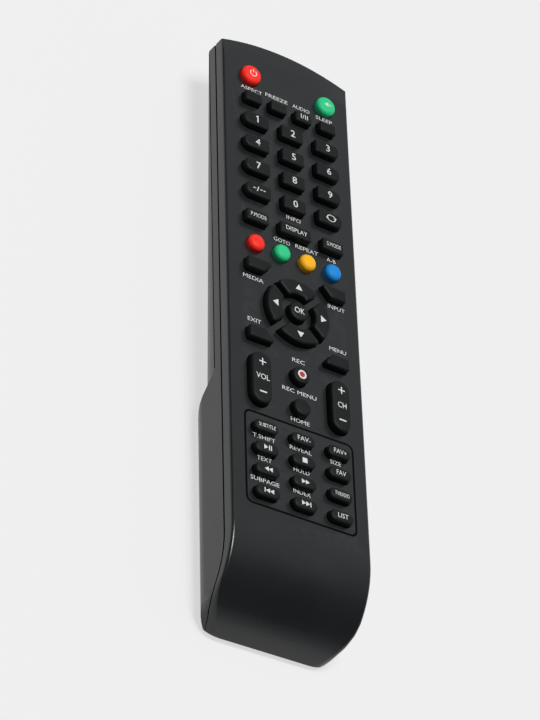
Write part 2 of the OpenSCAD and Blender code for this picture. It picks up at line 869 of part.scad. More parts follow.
// Coil spring with a flat contact behind it, as one tube on a spiral that narrows.
spring_turns = 4;
spring_length = 4.4;
spring_wire = 0.6;
spring_radii = [3.6, 2.2];
spring_steps = 16;
tube_sides = 6;
function spring_point(u) =
    let (r = spring_radii[0] + (spring_radii[1] - spring_radii[0]) * u, w = 360 * spring_turns * u)
    [r * cos(w), r * sin(w), spring_wire / 2 + (spring_length - spring_wire) * u];
module coil_spring() {
    count = spring_turns * spring_steps;
    points = [
        for (i = [0:count], j = [0:tube_sides - 1])
            let (
                p = spring_point(i / count),
                w = 360 * spring_turns * i / count,
                v = 360 * j / tube_sides,
                out = spring_wire / 2 * cos(v)
            )
            p + [out * cos(w), out * sin(w), spring_wire / 2 * sin(v)]
    ];
    sides = [
        for (i = [0:count - 1], j = [0:tube_sides - 1])
            let (a = i * tube_sides + j, b = i * tube_sides + (j + 1) % tube_sides)
            each [[a, b, b + tube_sides], [a, b + tube_sides, a + tube_sides]]
    ];
    ends = [
        [for (j = [tube_sides - 1:-1:0]) j],
        [for (j = [0:tube_sides - 1]) count * tube_sides + j]
    ];
    polyhedron(points, concat(sides, ends));
}

// Places of the contacts: the cells lie head to tail.
contact_size = [9, 9];
contact_thickness = 0.4;
cell_z = cover_thickness + cover_gap + 0.1 + cell_diameter / 2;
module contact(thickness) {
    linear_extrude(thickness) square(contact_size, center = true);
}

// Puts a contact at the spring end of one cell, facing into the bay.
module at_spring_end(side) {
    y = side < 0 ? bay_back_y + 0.1 : bay_back_y + bay_length - 0.1;
    translate([side * cell_pitch / 2, y, cell_z]) rotate([side < 0 ? -90 : 90, 0, 0]) children();
}

// Puts a contact at the plate end of one cell, facing into the bay.
module at_plate_end(side) {
    y = side < 0 ? bay_back_y + bay_length - 0.1 : bay_back_y + 0.1;
    translate([side * cell_pitch / 2, y, cell_z]) rotate([side < 0 ? 90 : -90, 0, 0]) children();
}

module battery_springs() {
    color(nickel)
        for (side = [-1, 1])
            at_spring_end(side) {
                contact(contact_thickness);
                translate([0, 0, contact_thickness - 0.1]) coil_spring();
            }
}

module battery_plates() {
    color(nickel)
        for (side = [-1, 1])
            at_plate_end(side) {
                contact(contact_thickness);
                cylinder(d = 4, h = contact_thickness + 0.4);
            }
}

// Cells, each with its raised end away from its spring.
head_length = 1;
head_diameter = 3.6;
module aaa_cells() {
    spring_room = contact_thickness + spring_length + 0.1;
    color(cell_grey)
        for (side = [-1, 1])
            at_spring_end(side)
                translate([0, 0, spring_room]) {
                    cylinder(d = cell_diameter - 0.1, h = cell_length - head_length);
                    cylinder(d = head_diameter, h = cell_length);
                }
}

// Collar under the face and plunger over the board, on any outline.
module key_foot(grown_collar, grown_plunger) {
    translate([0, 0, collar_top - collar_thickness]) linear_extrude(collar_thickness) polygon(grown_collar);
    translate([0, 0, key_bottom])
        linear_extrude(collar_top - key_bottom - 2 * collar_thickness / 3) polygon(grown_plunger);
}

// Solid through a stack of outlines with equal numbers of points, each at its own height.
module loft(rings, heights) {
    n = len(rings[0]);
    last = len(rings) - 1;
    points = [for (i = [0:last], p = rings[i]) [p[0], p[1], heights[i]]];
    sides = [
        for (i = [0:last - 1], j = [0:n - 1])
            let (a = i * n + j, b = i * n + (j + 1) % n)
            each [[a, a + n, b + n], [a, b + n, b]]
    ];
    bottom = [for (j = [0:n - 1]) j];
    top = [for (j = [n - 1:-1:0]) last * n + j];
    polyhedron(points, concat([bottom], sides, [top]));
}

module round_key(k) {
    r = k[2] / 2;
    coloured = k[3] != key_black;
    top = face_z + (coloured ? colour_rise : key_rise);
    rounding = coloured ? colour_crown : key_crown;
    crown = [
        for (w = edge_steps)
            [r - rounding * (1 - cos(w)), top - rounding * (1 - sin(w))]
    ];
    foot = [
        [0, key_bottom],
        [r + plunger_grow, key_bottom],
        [r + plunger_grow, collar_top - collar_thickness],
        [r + collar_grow, collar_top - collar_thickness],
        [r + collar_grow, collar_top],
        [r, collar_top]
    ];
    color(k[3]) translate(k[1]) rotate_extrude() polygon(concat(foot, crown, [[0, top]]));
}

// Inset and height of each outline of a cap with a rounded top edge, from its base up.
function cap_insets() = concat([0], [for (w = edge_steps) key_crown * (1 - cos(w))]);
function cap_heights(base, top) =
    concat([base], [for (w = edge_steps) top - key_crown * (1 - sin(w))]);
cap_base = collar_top - collar_thickness / 3;

module flat_key(k) {
    color(key_black) {
        loft(
            [for (inset = cap_insets()) outline(k[1], k[2], -inset)],
            cap_heights(cap_base, face_z + key_rise)
        );
        key_foot(outline(k[1], k[2], collar_grow), outline(k[1], k[2], plunger_grow));
    }
}

module oval_key(k) {
    color(key_black) {
        loft(
            [for (inset = cap_insets()) oval_outline(k[1], oval_size, -inset)],
            cap_heights(cap_base, face_z + oval_rise)
        );
        key_foot(
            oval_outline(k[1], oval_size, collar_grow),
            oval_outline(k[1], oval_size, plunger_grow)
        );
    }
}

module arrow_key(k) {
    top = face_z + key_rise;
    rim = [for (w = edge_steps) [key_crown * (1 - cos(w)), top - key_crown * (1 - sin(w))]];
    ring = concat(
        [[pad_inner_radius, collar_top - 0.5], [pad_radius, collar_top - 0.5]],
        [for (p = rim) [pad_radius - p[0], p[1]]],
        [for (i = [3:-1:0]) [pad_inner_radius + rim[i][0], rim[i][1]]]
    );
    color(key_black)
        translate([0, pad_y, 0])
            rotate(k[1]) {
                intersection() {
                    rotate_extrude() polygon(ring);
                    linear_extrude(2 * face_z) polygon(wedge_points());
                }
                key_foot(sector_points(collar_grow), sector_points(plunger_grow));
            }
}

// Space between the two diagonal gaps beside a direction key.
function wedge_points() =
    let (near = pad_split / sqrt(2), far = 2 * pad_radius)
    [[near, 0], [far, far - near], [far, near - far]];

module rocker(k) {
    color(key_black) {
        loft(
            [for (inset = cap_insets()) oval_outline(k[1], rocker_size, -inset)],
            cap_heights(key_bottom, face_z + key_rise)
        );
        translate([0, 0, rocker_collar_z])
            linear_extrude(rocker_collar_thickness)
                polygon(oval_outline(k[1], rocker_size, rocker_collar_grow));
    }
}

top_case();
bottom_case();
battery_cover();
keypad_mat();
circuit_board();
board_components();
ir_emitter();
battery_springs();
battery_plates();
aaa_cells();
for (k = round_keys) round_key(k);
for (k = flat_keys) flat_key(k);
for (k = oval_keys) oval_key(k);
for (k = arrow_keys) arrow_key(k);
for (k = rocker_keys) rocker(k);
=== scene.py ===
import math
from functools import partial

import bmesh
import bpy
from mathutils import Matrix, Vector


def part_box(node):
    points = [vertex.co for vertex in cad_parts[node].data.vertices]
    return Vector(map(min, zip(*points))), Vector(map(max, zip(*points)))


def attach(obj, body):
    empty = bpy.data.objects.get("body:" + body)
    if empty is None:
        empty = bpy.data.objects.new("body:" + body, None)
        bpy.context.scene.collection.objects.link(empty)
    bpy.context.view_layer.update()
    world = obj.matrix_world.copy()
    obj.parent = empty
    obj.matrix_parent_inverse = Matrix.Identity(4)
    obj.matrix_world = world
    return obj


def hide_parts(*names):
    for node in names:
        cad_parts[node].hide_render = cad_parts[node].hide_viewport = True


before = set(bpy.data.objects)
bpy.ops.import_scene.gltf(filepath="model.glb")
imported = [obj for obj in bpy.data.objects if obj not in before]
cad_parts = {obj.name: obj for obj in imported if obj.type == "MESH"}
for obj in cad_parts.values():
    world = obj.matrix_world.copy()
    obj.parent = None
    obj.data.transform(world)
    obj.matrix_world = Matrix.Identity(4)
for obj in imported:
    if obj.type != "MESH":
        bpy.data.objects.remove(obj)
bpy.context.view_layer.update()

MM = 0.001

# Heights on the remote, in millimetres: the face, and the keys' collars under the shell's wall.
FACE_Z = 22.8
WALL = 1.8
COLLAR_GAP = 0.2
COLLAR = 0.9
COLLAR_HIGH = FACE_Z - WALL - COLLAR_GAP
COLLAR_LOW = COLLAR_HIGH - COLLAR

# How far a key's collar and plunger stand out from or back from its sides.
COLLAR_GROW = 0.4
PLUNGER_INSET = 0.3
ROCKER_COLLAR_GROW = 0.3
ROCKER_COLLAR = (19.7, 20.1)

# Rounded top edge of a key, and the slight dome of its top.
CROWN = 0.8
COLOUR_CROWN = 1.5
CROWN_STEPS = 6
DOME = 0.07
DOME_SHARES = (0.72, 0.45, 0.2)
TOP_CLEAR = 0.02
# Rings of a key below its rounded edge, whose faces stay flat.
FLAT_RINGS = 5

# Printed marks: thickness of the ink, and how deep it sits in the surface.
INK = 0.03
INK_SUNK = 0.015

# Words at least this high are set bolder, by a share of the font's size.
BOLD_FROM = 1.9
BOLD_STROKE = 0.012


# Surface effects: densities of their noise, and the spans of it that become masks.
GRAIN_SOFT_SHARE = 0.7
GRAIN_SHADE_SPAN = (0.3, 0.7)
PATCH_SPAN = (0.35, 0.65)
EDGE_SPAN = (0.52, 0.62)
EDGE_BREAKS = 420.0
EDGE_BREAK_SPAN = (0.35, 0.7)
UPWARD_SPAN = (0.5, 1.0)
SPECK_DENSITY = 2600.0
SPECK_SPAN = (0.7, 0.78)
FILM_DENSITY = 90.0
FILM_SHARE = 0.5


# Shader groups

def new_group(name, inputs, outputs):
    group = bpy.data.node_groups.new(name, "ShaderNodeTree")
    for label, value in inputs:
        socket = group.interface.new_socket(label, in_out="INPUT", socket_type="NodeSocketFloat")
        socket.default_value = value
    for label in outputs:
        group.interface.new_socket(label, in_out="OUTPUT", socket_type="NodeSocketFloat")
    return group, group.nodes.new("NodeGroupInput"), group.nodes.new("NodeGroupOutput")


def add_math(tree, kind, a, b):
    node = tree.nodes.new("ShaderNodeMath")
    node.operation = kind
    for socket, value in zip(node.inputs, (a, b)):
        if isinstance(value, (int, float)):
            socket.default_value = value
        else:
            tree.links.new(value, socket)
    return node.outputs[0]


def add_noise(tree, coords, scale, detail):
    node = tree.nodes.new("ShaderNodeTexNoise")
    node.inputs["Detail"].default_value = detail
    tree.links.new(coords, node.inputs["Vector"])
    if isinstance(scale, (int, float)):
        node.inputs["Scale"].default_value = scale
    else:
        tree.links.new(scale, node.inputs["Scale"])
    return node.outputs["Fac"]


def add_range(tree, value, low, high, to_low=0.0, to_high=1.0):
    node = tree.nodes.new("ShaderNodeMapRange")
    ends = {"From Min": low, "From Max": high, "To Min": to_low, "To Max": to_high}
    for label, number in ends.items():
        if isinstance(number, (int, float)):
            node.inputs[label].default_value = number
        else:
            tree.links.new(number, node.inputs[label])
    tree.links.new(value, node.inputs["Value"])
    return node.outputs["Result"]


def object_coords(tree):
    return tree.nodes.new("ShaderNodeTexCoord").outputs["Object"]


def moulded_grain_group():
    """Fine pits of an etched mould: a height, and a shade that follows the pits."""
    tree, given, put = new_group("moulded_grain", [("Fineness", 4500.0)], ["Height", "Shade"])
    coords = object_coords(tree)
    soft = add_noise(tree, coords, given.outputs["Fineness"], detail=2.0)
    pits = tree.nodes.new("ShaderNodeTexVoronoi")
    tree.links.new(coords, pits.inputs["Vector"])
    tree.links.new(given.outputs["Fineness"], pits.inputs["Scale"])
    soft_share = add_math(tree, "MULTIPLY", soft, GRAIN_SOFT_SHARE)
    mixed = add_math(tree, "ADD", soft_share, pits.outputs["Distance"])
    tree.links.new(mixed, put.inputs["Height"])
    tree.links.new(add_range(tree, soft, *GRAIN_SHADE_SPAN), put.inputs["Shade"])
    return tree


def handled_group():
    """Patches that hands have rubbed smoother."""
    inputs = [("Patch Density", 55.0), ("Smoothest", 0.4), ("Roughest", 0.55)]
    tree, given, put = new_group("handled_patches", inputs, ["Roughness", "Mask"])
    patches = add_noise(tree, object_coords(tree), given.outputs["Patch Density"], detail=4.0)
    mask = add_range(tree, patches, *PATCH_SPAN)
    rough = add_range(tree, mask, 0.0, 1.0, given.outputs["Smoothest"], given.outputs["Roughest"])
    tree.links.new(rough, put.inputs["Roughness"])
    tree.links.new(mask, put.inputs["Mask"])
    return tree


def worn_edge_group():
    """Lighter line where an edge has been rubbed."""
    tree, given, put = new_group("worn_edges", [("Amount", 0.3)], ["Mask"])
    shape = tree.nodes.new("ShaderNodeNewGeometry")
    edge = add_range(tree, shape.outputs["Pointiness"], *EDGE_SPAN)
    breaks = add_noise(tree, object_coords(tree), EDGE_BREAKS, detail=3.0)
    broken = add_range(tree, breaks, *EDGE_BREAK_SPAN)
    mask = add_math(tree, "MULTIPLY", add_math(tree, "MULTIPLY", edge, broken), given.outputs["Amount"])
    tree.links.new(mask, put.inputs["Mask"])
    return tree


def dust_group():
    """Specks and a thin film of dust on what faces up."""
    tree, given, put = new_group("settled_dust", [("Amount", 0.05)], ["Mask"])
    shape = tree.nodes.new("ShaderNodeNewGeometry")
    split = tree.nodes.new("ShaderNodeSeparateXYZ")
    tree.links.new(shape.outputs["Normal"], split.inputs[0])
    up = add_range(tree, split.outputs["Z"], *UPWARD_SPAN)
    coords = object_coords(tree)
    specks = add_range(tree, add_noise(tree, coords, SPECK_DENSITY, detail=1.0), *SPECK_SPAN)
    film = add_noise(tree, coords, FILM_DENSITY, detail=3.0)
    both = add_math(tree, "ADD", specks, add_math(tree, "MULTIPLY", film, FILM_SHARE))
    mask = add_math(tree, "MULTIPLY", add_math(tree, "MULTIPLY", both, up), given.outputs["Amount"])
    tree.links.new(mask, put.inputs["Mask"])
    return tree


GRAIN = moulded_grain_group()
HANDLED = handled_group()
WORN = worn_edge_group()
DUST = dust_group()


# Materials: pits and thin ink are darker, rubbed edges are lighter, and dust is grey.
PIT_SHADE = 0.86
GRAIN_STRENGTH = 0.35
WORN_LIGHTER = 0.25
DUST_COLOUR = (0.45, 0.44, 0.42)
THIN_SHADE = 0.8
INK_DENSITY = 1800.0
INK_THIN_SPAN = (0.55, 0.8)
METAL_PATCHES = 400.0
METAL_SHADE = 0.8

# Circuit board: its tracks, and the colours between and on them.
TRACK_DENSITY = 260.0
TRACK_WIDTH = 0.03
BOARD_GREEN = (0.02, 0.11, 0.035)
TRACK_GREEN = (0.05, 0.2, 0.06)

# Cells: half the blur between the two, where the gold band ends, and their colours.
CELL_SPLIT = 0.1
BAND_END = (-8.5, -8.3)
BAND_GOLD = (0.42, 0.3, 0.1)
SLEEVE_DARK = (0.03, 0.034, 0.04)
CELL_METAL = (0.62, 0.61, 0.58)
CELL_END_SPAN = (0.8, 0.95)
CELL_PATCHES = 200.0


def shaded(colour, share):
    return tuple(share * c for c in colour)


def place_group(tree, group, values):
    node = tree.nodes.new("ShaderNodeGroup")
    node.node_tree = group
    for label, value in values.items():
        node.inputs[label].default_value = value
    return node


def mix_colour(tree, mask, first, second):
    node = tree.nodes.new("ShaderNodeMix")
    node.data_type = "RGBA"
    tree.links.new(mask, node.inputs["Factor"])
    for socket, value in ((node.inputs[6], first), (node.inputs[7], second)):
        if isinstance(value, tuple):
            socket.default_value = (*value, 1.0)
        else:
            tree.links.new(value, socket)
    return node.outputs[2]


def lighter(colour, share):
    return tuple(c + (1.0 - c) * share for c in colour)


def moulded(name, colour, smoothest, roughest, fineness, depth, worn, dust, specular=0.5):
    """Moulded plastic or rubber: grain, handled patches, rubbed edges and a little dust."""
    material = bpy.data.materials.new(name)
    material.use_nodes = True
    tree = material.node_tree
    shader = tree.nodes["Principled BSDF"]
    grain = place_group(tree, GRAIN, {"Fineness": fineness})
    handled = place_group(tree, HANDLED, {"Smoothest": smoothest, "Roughest": roughest})
    edges = place_group(tree, WORN, {"Amount": worn})
    film = place_group(tree, DUST, {"Amount": dust})
    base = mix_colour(tree, grain.outputs["Shade"], shaded(colour, PIT_SHADE), colour)
    base = mix_colour(tree, edges.outputs["Mask"], base, lighter(colour, WORN_LIGHTER))
    base = mix_colour(tree, film.outputs["Mask"], base, DUST_COLOUR)
    tree.links.new(base, shader.inputs["Base Color"])
    tree.links.new(handled.outputs["Roughness"], shader.inputs["Roughness"])
    bump = tree.nodes.new("ShaderNodeBump")
    bump.inputs["Strength"].default_value = GRAIN_STRENGTH
    bump.inputs["Distance"].default_value = depth * MM
    tree.links.new(grain.outputs["Height"], bump.inputs["Height"])
    tree.links.new(bump.outputs["Normal"], shader.inputs["Normal"])
    shader.inputs["Specular IOR Level"].default_value = specular
    return material


def ink(name, colour):
    """Screen-printed ink, a little thin in places."""
    material = bpy.data.materials.new(name)
    material.use_nodes = True
    tree = material.node_tree
    shader = tree.nodes["Principled BSDF"]
    cover = add_noise(tree, object_coords(tree), INK_DENSITY, detail=3.0)
    thin = add_range(tree, cover, *INK_THIN_SPAN)
    base = mix_colour(tree, thin, colour, shaded(colour, THIN_SHADE))
    tree.links.new(base, shader.inputs["Base Color"])
    handled = place_group(tree, HANDLED, {"Smoothest": 0.45, "Roughest": 0.6})
    tree.links.new(handled.outputs["Roughness"], shader.inputs["Roughness"])
    return material


def metal(name, colour, smoothest, roughest):
    """Plated spring metal, duller in small patches."""
    material = bpy.data.materials.new(name)
    material.use_nodes = True
    tree = material.node_tree
    shader = tree.nodes["Principled BSDF"]
    shader.inputs["Metallic"].default_value = 1.0
    values = {"Patch Density": METAL_PATCHES, "Smoothest": smoothest, "Roughest": roughest}
    handled = place_group(tree, HANDLED, values)
    base = mix_colour(tree, handled.outputs["Mask"], shaded(colour, METAL_SHADE), colour)
    tree.links.new(base, shader.inputs["Base Color"])
    tree.links.new(handled.outputs["Roughness"], shader.inputs["Roughness"])
    return material


def board_laminate():
    """Green solder mask with fine copper tracks showing through."""
    material = bpy.data.materials.new("board_laminate")
    material.use_nodes = True
    tree = material.node_tree
    shader = tree.nodes["Principled BSDF"]
    tracks = tree.nodes.new("ShaderNodeTexBrick")
    tree.links.new(object_coords(tree), tracks.inputs["Vector"])
    tracks.inputs["Scale"].default_value = TRACK_DENSITY
    tracks.inputs["Mortar Size"].default_value = TRACK_WIDTH
    base = mix_colour(tree, tracks.outputs["Fac"], BOARD_GREEN, TRACK_GREEN)
    tree.links.new(base, shader.inputs["Base Color"])
    handled = place_group(tree, HANDLED, {"Smoothest": 0.3, "Roughest": 0.42})
    tree.links.new(handled.outputs["Roughness"], shader.inputs["Roughness"])
    return material


def cell_jacket():
    """Cells that lie opposite ways: dark sleeve, gold band towards one end, bare metal ends."""
    material = bpy.data.materials.new("cell_jacket")
    material.use_nodes = True
    tree = material.node_tree
    shader = tree.nodes["Principled BSDF"]
    split = tree.nodes.new("ShaderNodeSeparateXYZ")
    tree.links.new(object_coords(tree), split.inputs[0])
    shape = tree.nodes.new("ShaderNodeNewGeometry")
    facing = tree.nodes.new("ShaderNodeSeparateXYZ")
    tree.links.new(shape.outputs["Normal"], facing.inputs[0])
    low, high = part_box("aaa_cells")
    side = add_range(tree, split.outputs["X"], -CELL_SPLIT * MM, CELL_SPLIT * MM, -1.0, 1.0)
    middle = (low.y + high.y) / 2
    along = add_math(tree, "MULTIPLY", add_math(tree, "SUBTRACT", split.outputs["Y"], middle), side)
    band = add_range(tree, along, BAND_END[0] * MM, BAND_END[1] * MM)
    sleeve = mix_colour(tree, band, BAND_GOLD, SLEEVE_DARK)
    ends = add_range(tree, add_math(tree, "ABSOLUTE", facing.outputs["Y"], 0.0), *CELL_END_SPAN)
    base = mix_colour(tree, ends, sleeve, CELL_METAL)
    tree.links.new(base, shader.inputs["Base Color"])
    tree.links.new(ends, shader.inputs["Metallic"])
    values = {"Patch Density": CELL_PATCHES, "Smoothest": 0.22, "Roughest": 0.34}
    handled = place_group(tree, HANDLED, values)
    tree.links.new(handled.outputs["Roughness"], shader.inputs["Roughness"])
    return material


CASE = moulded(
    "case_plastic", (0.0088, 0.0096, 0.0103), smoothest=0.26, roughest=0.3,
    fineness=5200.0, depth=0.02, worn=0.03, dust=0.003,
)
KEY_BLACK = moulded(
    "black_rubber", (0.0042, 0.0045, 0.0048), smoothest=0.52, roughest=0.6,
    fineness=3600.0, depth=0.01, worn=0.02, dust=0.004, specular=0.2,
)
RUBBER_COLOURS = {
    "red": (0.9, 0.022, 0.01),
    "green": (0.02, 0.52, 0.21),
    "yellow": (0.86, 0.42, 0.008),
    "blue": (0.004, 0.215, 0.62),
}
KEY_COLOURS = {}
for hue, rubber in RUBBER_COLOURS.items():
    KEY_COLOURS[hue] = moulded(
        hue + "_rubber", rubber, smoothest=0.5, roughest=0.6,
        fineness=3600.0, depth=0.008, worn=0.02, dust=0.004, specular=0.25,
    )
MAT = moulded(
    "mat_rubber", (0.016, 0.016, 0.017), smoothest=0.55, roughest=0.7,
    fineness=2600.0, depth=0.02, worn=0.05, dust=0.02,
)
BOARD = board_laminate()
COMPONENT = moulded(
    "component_plastic", (0.008, 0.008, 0.008), smoothest=0.45, roughest=0.6,
    fineness=4000.0, depth=0.02, worn=0.1, dust=0.02,
)
EMITTER = moulded(
    "emitter_resin", (0.05, 0.06, 0.11), smoothest=0.08, roughest=0.14,
    fineness=800.0, depth=0.004, worn=0.05, dust=0.01,
)
NICKEL = metal("nickel", (0.62, 0.61, 0.57), smoothest=0.2, roughest=0.34)
JACKET = cell_jacket()
INK_WHITE = ink("print_white", (0.58, 0.58, 0.575))
INK_RED = ink("print_red", (0.45, 0.006, 0.012))
# Painted shade: near-black, barely reflecting finish of the sheet laid in the groove, standing in for
# the groove's shadow.
GROOVE_PAINTED_SHADE = moulded(
    "groove_shadow", (0.0024, 0.0024, 0.0026), smoothest=0.7, roughest=0.8,
    fineness=3000.0, depth=0.01, worn=0.0, dust=0.001, specular=0.03,
)


# Outlines, in millimetres, anticlockwise: steps of their arcs, and the least radius of a corner.
ROUND_STEPS = 64
END_STEPS = 24
CORNER_STEPS = 10
LEAST_RADIUS = 0.12


def direction(degrees):
    return Vector((math.cos(math.radians(degrees)), math.sin(math.radians(degrees))))


def arc(middle, radius, start, end, steps):
    return [middle + radius * direction(start + (end - start) * i / steps) for i in range(steps + 1)]


def round_outline(middle, diameter, inset):
    last = 360 - 360 / ROUND_STEPS
    return arc(middle, diameter / 2 - inset, 0, last, ROUND_STEPS - 1)


def oval_outline(middle, size, inset):
    radius = min(size) / 2
    run = (max(size) - min(size)) / 2
    turn = 0 if size[0] > size[1] else 90
    ahead = direction(turn) * run
    first = arc(middle + ahead, radius - inset, turn - 90, turn + 90, END_STEPS)
    return first + arc(middle - ahead, radius - inset, turn + 90, turn + 270, END_STEPS)


def corner_outline(corners, radii, inset):
    """Outline through corners, each with its own radius, moved in by a distance."""
    points = []
    for i, corner in enumerate(corners):
        before = (corner - corners[i - 1]).normalized()
        after = (corners[(i + 1) % len(corners)] - corner).normalized()
        m = Vector((before.y, -before.x))
        n = Vector((after.y, -after.x))
        radius = max(radii[i] - inset, LEAST_RADIUS)
        middle = corner - (m + n) * (inset + radius) / (1 + m.dot(n))
        start = math.degrees(math.atan2(m.y, m.x))
        turn = math.degrees(math.acos(max(-1.0, min(1.0, m.dot(n)))))
        points += arc(middle, radius, start, start + turn, CORNER_STEPS)
    return points


def box_corners(low, high):
    xs = (low.x, high.x, high.x, low.x)
    ys = (low.y, low.y, high.y, high.y)
    return [Vector(corner) for corner in zip(xs, ys)]


# Ring of direction keys: its radii, the gaps that split it, its corners, and the steps of its arcs.
PAD_RADIUS = 11.6
PAD_INNER = 6.2
PAD_SPLIT = 2.4
PAD_CORNER = 0.9
PAD_CORNER_STEPS = 8
PAD_INNER_STEPS = 16


def sector_outline(middle, turn, inset):
    """Direction key between two diagonal gaps, with its corners rounded."""
    corner = max(PAD_CORNER - inset, LEAST_RADIUS)
    back = inset + corner
    outer = PAD_RADIUS - back
    inner = PAD_INNER + back
    half_gap = PAD_SPLIT / 2 + back
    wide = 45 - math.degrees(math.asin(half_gap / outer))
    near = 45 - math.degrees(math.asin(half_gap / inner))
    origin = Vector((0, 0))
    points = arc(origin, outer + corner, -wide, wide, END_STEPS)
    points += arc(outer * direction(wide), corner, wide, 135, PAD_CORNER_STEPS)
    points += arc(inner * direction(near), corner, 135, near + 180, PAD_CORNER_STEPS)
    points += arc(origin, inner - corner, near, -near, PAD_INNER_STEPS)
    points += arc(inner * direction(-near), corner, 180 - near, 225, PAD_CORNER_STEPS)
    points += arc(outer * direction(-wide), corner, 225, 360 - wide, PAD_CORNER_STEPS)
    spin = Matrix.Rotation(math.radians(turn), 2)
    return [middle + spin @ p for p in points]


# Meshes

def add_object(name, bm, material):
    mesh = bpy.data.meshes.new(name)
    bmesh.ops.recalc_face_normals(bm, faces=bm.faces)
    bm.to_mesh(mesh)
    bm.free()
    mesh.materials.append(material)
    obj = bpy.data.objects.new(name, mesh)
    bpy.context.scene.collection.objects.link(obj)
    return obj


def loft(name, rings, smooth_from, material):
    """Closed solid through outlines with equal numbers of points, each at its own height."""
    bm = bmesh.new()
    rows = [[bm.verts.new((p.x * MM, p.y * MM, z * MM)) for p in points] for points, z in rings]
    count = len(rows[0])
    for level, (low, high) in enumerate(zip(rows, rows[1:])):
        for i in range(count):
            k = (i + 1) % count
            face = bm.faces.new((low[i], low[k], high[k], high[i]))
            face.smooth = level >= smooth_from
    bm.faces.new(rows[0][::-1])
    bm.faces.new(rows[-1]).smooth = True
    return add_object(name, bm, material)


def key_cap(outline, low, top, crown):
    """Sides, rounded edge and domed top of a key, as rings."""
    rings = [(outline(0), low)]
    edge = top - DOME
    for i in range(CROWN_STEPS + 1):
        turn = math.radians(90 * i / CROWN_STEPS)
        rings.append((outline(crown * (1 - math.cos(turn))), edge - crown * (1 - math.sin(turn))))
    last = rings[-1][0]
    middle = sum(last, Vector((0, 0))) / len(last)
    for share in DOME_SHARES:
        rings.append(([middle + (p - middle) * share for p in last], top - DOME * share * share))
    return rings


def key_piece(node, outline, top, crown, material):
    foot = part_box(node)[0].z / MM
    rings = [
        (outline(PLUNGER_INSET), foot),
        (outline(PLUNGER_INSET), COLLAR_LOW),
        (outline(-COLLAR_GROW), COLLAR_LOW),
        (outline(-COLLAR_GROW), COLLAR_HIGH),
    ]
    rings += key_cap(outline, COLLAR_HIGH, top, crown)
    return loft(node.replace("_key", "_cap"), rings, FLAT_RINGS, material)


def rocker_piece(node, outline, top, material):
    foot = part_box(node)[0].z / MM
    low, high = ROCKER_COLLAR
    rings = [
        (outline(0), foot),
        (outline(0), low),
        (outline(-ROCKER_COLLAR_GROW), low),
        (outline(-ROCKER_COLLAR_GROW), high),
    ]
    rings += key_cap(outline, high, top, CROWN)
    return loft(node + "_cap", rings, FLAT_RINGS, material)


# Keys by form

ROUND_KEYS = {
    "power_key": "red",
    "mute_key": "green",
    "red_key": "red",
    "green_key": "green",
    "yellow_key": "yellow",
    "blue_key": "blue",
    "ok_key": "black",
    "record_key": "black",
    "home_key": "black",
}
OVAL_KEYS = [
    "subtitle_key", "fav_minus_key", "fav_plus_key", "play_pause_key", "stop_key", "fav_key",
    "rewind_key", "forward_key", "tv_radio_key", "previous_key", "next_key", "list_key",
]
ARROW_KEYS = {"right_key": 0, "up_key": 90, "left_key": 180, "down_key": 270}
LEFT_DIGITS = ["digit_1_key", "digit_4_key", "digit_7_key", "dash_key"]
RIGHT_DIGITS = ["digit_3_key", "digit_6_key", "digit_9_key", "recall_key"]
AROUND_KEYS = {"media_key": (-1, 1), "input_key": (1, 1), "exit_key": (-1, -1), "menu_key": (1, -1)}
BOX_KEYS = LEFT_DIGITS + RIGHT_DIGITS + [
    "aspect_key", "freeze_key", "audio_key", "sleep_key", "digit_2_key", "digit_5_key", "digit_8_key",
    "digit_0_key", "picture_mode_key", "display_key", "sound_mode_key",
]
ROCKERS = ["volume_rocker", "channel_rocker"]

# Corner radii of the keys, and the corner cut off each key beside the ring, along X and along Y.
KEY_CORNER = 0.9
DIGIT_END = 2.4
AROUND_CUT = (2.8, 3.2)
SAME_PLACE = 1e-6


def cap_box(node, collar):
    """Lowest and highest corner of a key's cap, in millimetres, without its collar."""
    low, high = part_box(node)
    low, high = low / MM, high / MM
    grow = Vector((collar, collar, 0))
    return low + grow, high - grow


def cut_corners(low, high, side):
    """Corners of a key beside the ring of direction keys, cut off towards the ring."""
    corners = box_corners(low, high)
    inner_x = low.x if side[0] > 0 else high.x
    inner_y = low.y if side[1] > 0 else high.y
    points = []
    for i, corner in enumerate(corners):
        if abs(corner.x - inner_x) < SAME_PLACE and abs(corner.y - inner_y) < SAME_PLACE:
            along_x = Vector((inner_x + side[0] * AROUND_CUT[0], inner_y))
            along_y = Vector((inner_x, inner_y + side[1] * AROUND_CUT[1]))
            comes_along_x = abs(corners[i - 1].y - inner_y) < SAME_PLACE
            points += [along_x, along_y] if comes_along_x else [along_y, along_x]
        else:
            points.append(corner)
    return points


